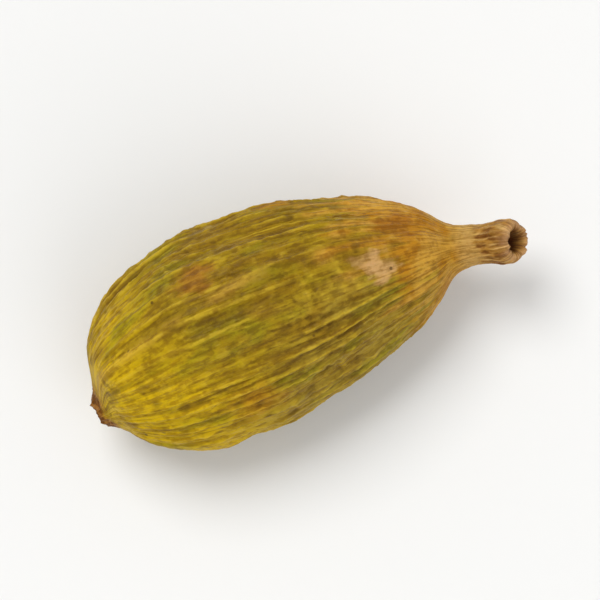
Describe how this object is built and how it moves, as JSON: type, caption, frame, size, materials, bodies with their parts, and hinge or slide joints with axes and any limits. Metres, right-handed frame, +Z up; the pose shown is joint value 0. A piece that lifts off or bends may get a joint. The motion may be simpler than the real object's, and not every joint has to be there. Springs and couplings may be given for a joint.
{
  "type": "green cardamom pod",
  "caption": "Dried green cardamom pod, a ribbed husk with rounded angles, blunt at the flower scar and narrowing to the stub of its stalk, lying on one face.",
  "frame": {"origin": "middle of the pod's box seen from above, on the surface that it lies on", "axes": "+X along the pod from the flower scar to the stalk, +Z up, one angle of the husk on top"},
  "size_m": [0.0144, 0.0068, 0.0062],
  "materials": {
    "husk": "matte"
  },
  "bodies": {
    "root": {"pod": "husk"}
  },
  "joints": []
}
